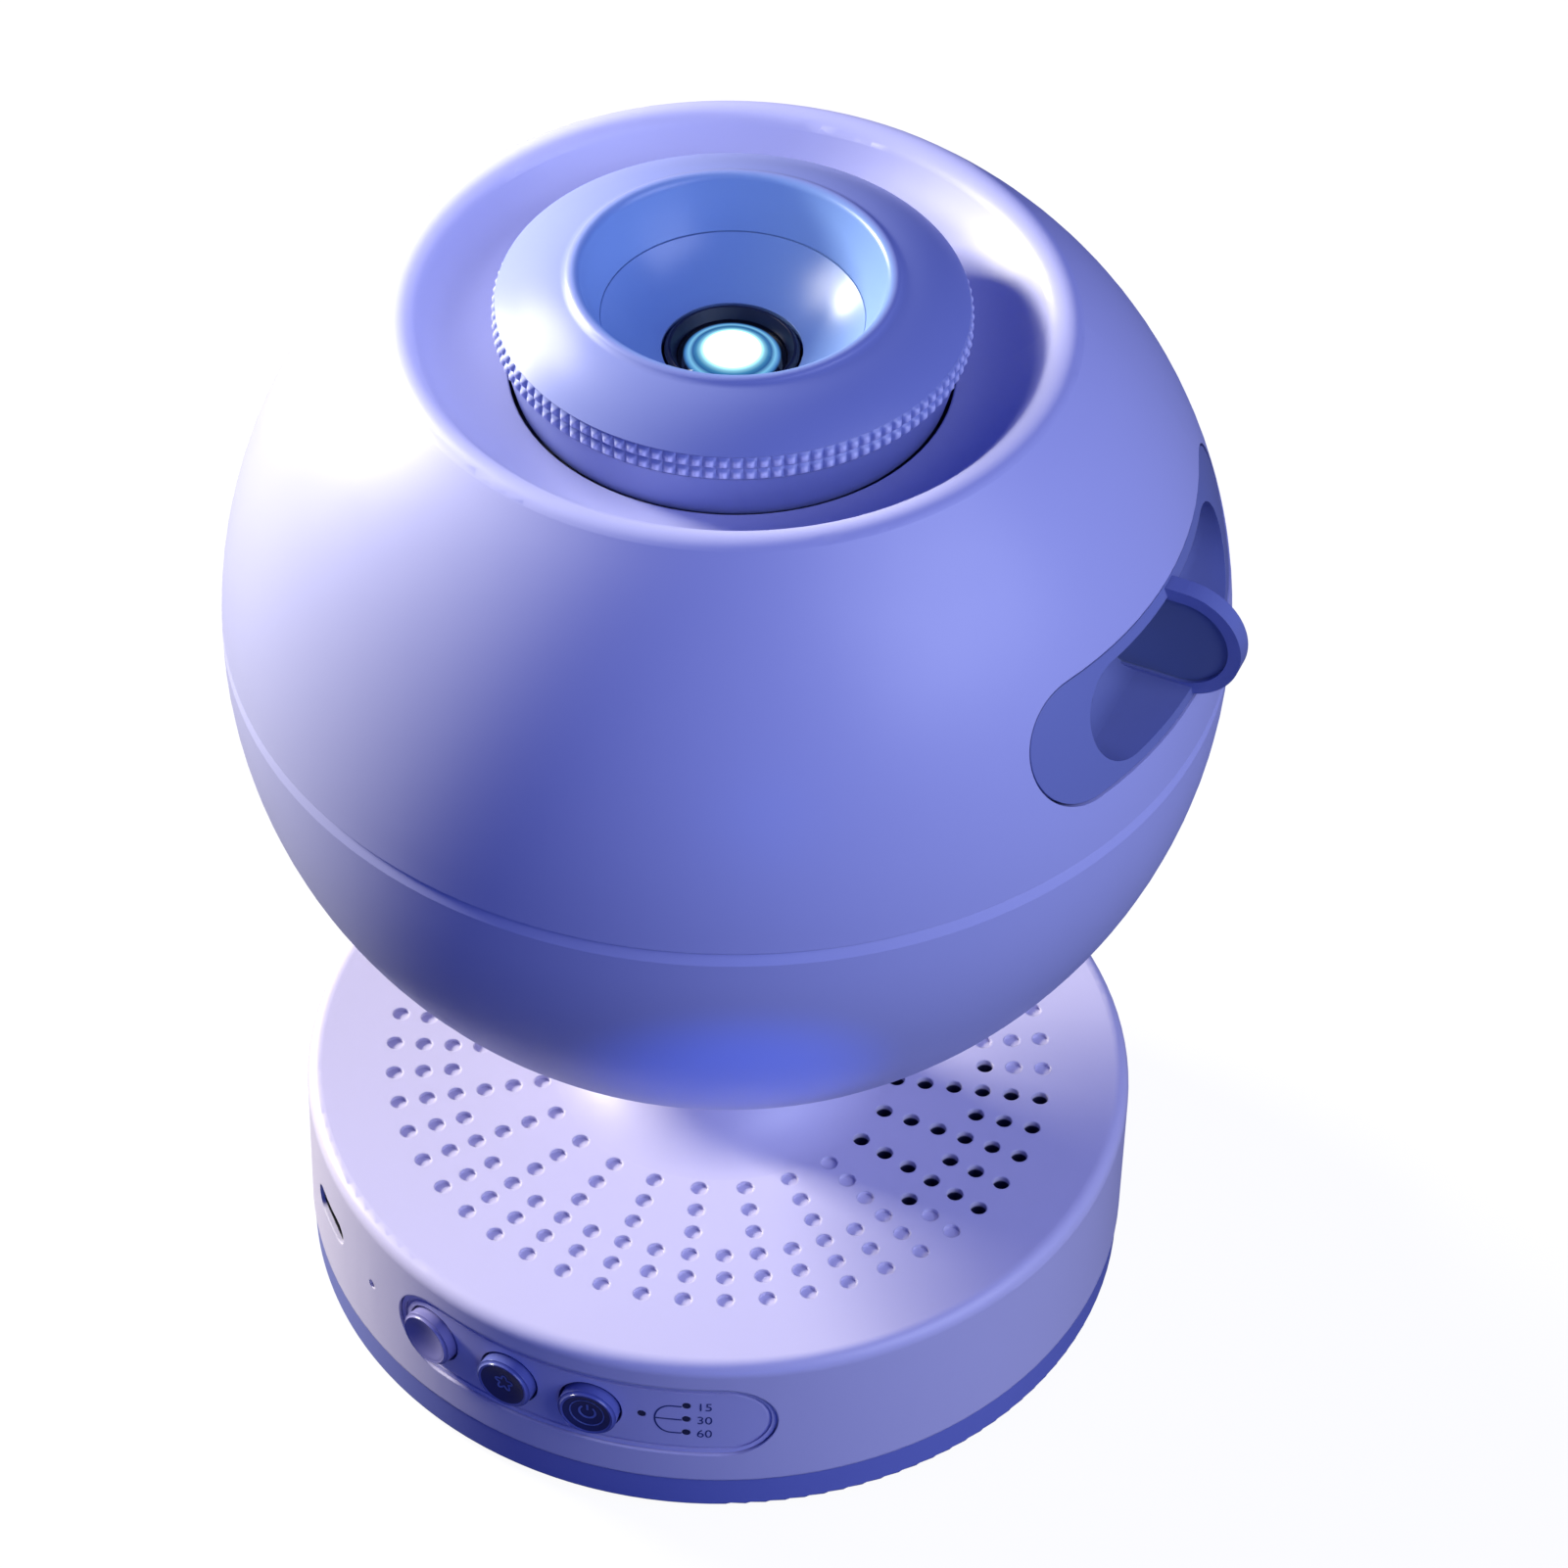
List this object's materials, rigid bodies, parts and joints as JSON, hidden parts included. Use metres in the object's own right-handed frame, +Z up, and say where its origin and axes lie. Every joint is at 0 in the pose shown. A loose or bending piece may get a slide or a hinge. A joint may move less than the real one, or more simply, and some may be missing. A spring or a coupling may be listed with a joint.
{
  "type": "planetarium projector",
  "caption": "Ball-shaped star projector with a focus ring in a crater on top and a side disc tray, on a round speaker base with push buttons.",
  "frame": {"origin": "centre of the underside, on the table under the rubber feet", "axes": "+Z up along the swivel and lens axis; -Y towards the viewer in front; the tray slides out 66.7 degrees round from the front, towards +X"},
  "size_m": [0.12, 0.12, 0.1563],
  "materials": {
    "ball_shell": "moulded ABS, fine satin texture, pale periwinkle",
    "base_shell": "moulded ABS, fine satin texture, pale periwinkle",
    "base_band": "moulded ABS, fine satin texture",
    "panel": "moulded ABS with printed marks",
    "ring_plastic": "moulded ABS with a knurled band",
    "bell_plastic": "moulded ABS, satin",
    "tray_plastic": "moulded ABS, fine satin texture",
    "button_dark": "moulded ABS with a printed symbol",
    "button_light": "moulded ABS with a printed symbol",
    "bezel_plastic": "dark moulded ring, satin gloss",
    "lit_lens": "clear lens, lit from behind",
    "lens_glass": "clear optical plastic",
    "light_pipe": "clear moulded light pipe",
    "led_body": "LED package",
    "led_dome": "phosphor dome",
    "black_plastic": "moulded, matt black",
    "inner_plastic": "moulded, unpainted grey",
    "white_acetal": "moulded acetal, slippery",
    "screw_steel": "zinc-plated steel",
    "clip_steel": "spring steel",
    "socket_steel": "nickel-plated sheet steel",
    "ballast_steel": "raw steel plate",
    "magnet": "ferrite magnet",
    "heat_sink": "extruded, clear anodised",
    "lamp_board": "aluminium-cored board, white mask",
    "cell_foil": "foil pouch cell with a printed sleeve",
    "circuit_board": "glass-fibre board, green mask",
    "rubber": "moulded rubber",
    "lead_sleeve": "sleeved lead",
    "speaker_paper": "pressed paper",
    "star_film": "printed film between clear discs"
  },
  "bodies": {
    "base": {"base_housing": "base_shell", "control_panel": "panel", "switch_carrier": "inner_plastic", "tact_switches": "black_plastic", "indicator_leds": "led_body", "light_pipes": "light_pipe", "base_cover": "base_band", "rubber_feet": "rubber", "cover_screws": "screw_steel", "ballast_plate": "ballast_steel", "battery": "cell_foil", "main_board": "circuit_board", "board_screws": "screw_steel", "board_parts": "black_plastic", "usb_socket": "socket_steel", "lamp_lead": "lead_sleeve", "speaker_frame": "black_plastic", "speaker_cone": "speaker_paper", "speaker_magnet": "magnet", "thrust_washer": "white_acetal", "swivel_retainer": "inner_plastic", "swivel_screws": "screw_steel"},
    "head": {"lower_shell": "ball_shell", "upper_shell": "ball_shell", "friction_washer": "rubber", "lens_holder": "inner_plastic", "holder_screws": "screw_steel", "ring_retainer": "inner_plastic", "retainer_screws": "screw_steel", "tray_guide": "black_plastic", "guide_screws": "screw_steel", "lamp_housing": "black_plastic", "lamp_screws": "screw_steel", "condenser_lens": "lens_glass", "condenser_ring": "clip_steel", "lamp_board": "lamp_board", "lamp_emitter": "led_dome", "heat_sink": "heat_sink", "driver_board": "circuit_board", "driver_screws": "screw_steel", "lead_socket": "black_plastic"},
    "focus_ring": {"focus_ring": "ring_plastic", "bell_cone": "bell_plastic", "cam_sleeve": "white_acetal"},
    "lens_barrel": {"lens_barrel": "black_plastic", "guide_pins": "screw_steel", "lens_bezel": "bezel_plastic", "front_lens": "lit_lens", "rear_lens": "lens_glass", "lens_retainer": "black_plastic", "lens_spacer": "black_plastic"},
    "disc_tray": {"tray_front": "tray_plastic", "disc_carrier": "tray_plastic", "film_disc": "star_film", "disc_clip": "clip_steel"},
    "power_button": {"power_button": "button_dark"},
    "mode_button": {"mode_button": "button_dark"},
    "timer_button": {"timer_button": "button_light"}
  },
  "joints": [
    {"name": "head_swivel", "type": "hinge", "parent": "base", "child": "head", "pos_m": [0, 0, 0.0462], "axis": [0, 0, 1], "range_deg": [-160, 160]},
    {"name": "focus_turn", "type": "hinge", "parent": "head", "child": "focus_ring", "pos_m": [0, 0, 0.1421], "axis": [0, 0, 1], "range_deg": [-45, 45]},
    {"name": "lens_slide", "type": "slide", "parent": "head", "child": "lens_barrel", "axis": [0, 0, 1], "range_m": [-0.0015, 0.0015]},
    {"name": "tray_slide", "type": "slide", "parent": "head", "child": "disc_tray", "axis": [0.9184, -0.3955, 0], "range_m": [0, 0.075]},
    {"name": "power_press", "type": "slide", "parent": "base", "child": "power_button", "axis": [0.289, 0.9573, 0], "range_m": [0, 0.0006], "stiffness_N_per_m": 600},
    {"name": "mode_press", "type": "slide", "parent": "base", "child": "mode_button", "axis": [0.4848, 0.8746, 0], "range_m": [0, 0.0006], "stiffness_N_per_m": 600},
    {"name": "timer_press", "type": "slide", "parent": "base", "child": "timer_button", "axis": [0.6691, 0.7431, 0], "range_m": [0, 0.0006], "stiffness_N_per_m": 600}
  ],
  "couplings": [
    {"joint": "focus_turn", "follows": "lens_slide", "rad_per_m": -523.6}
  ]
}
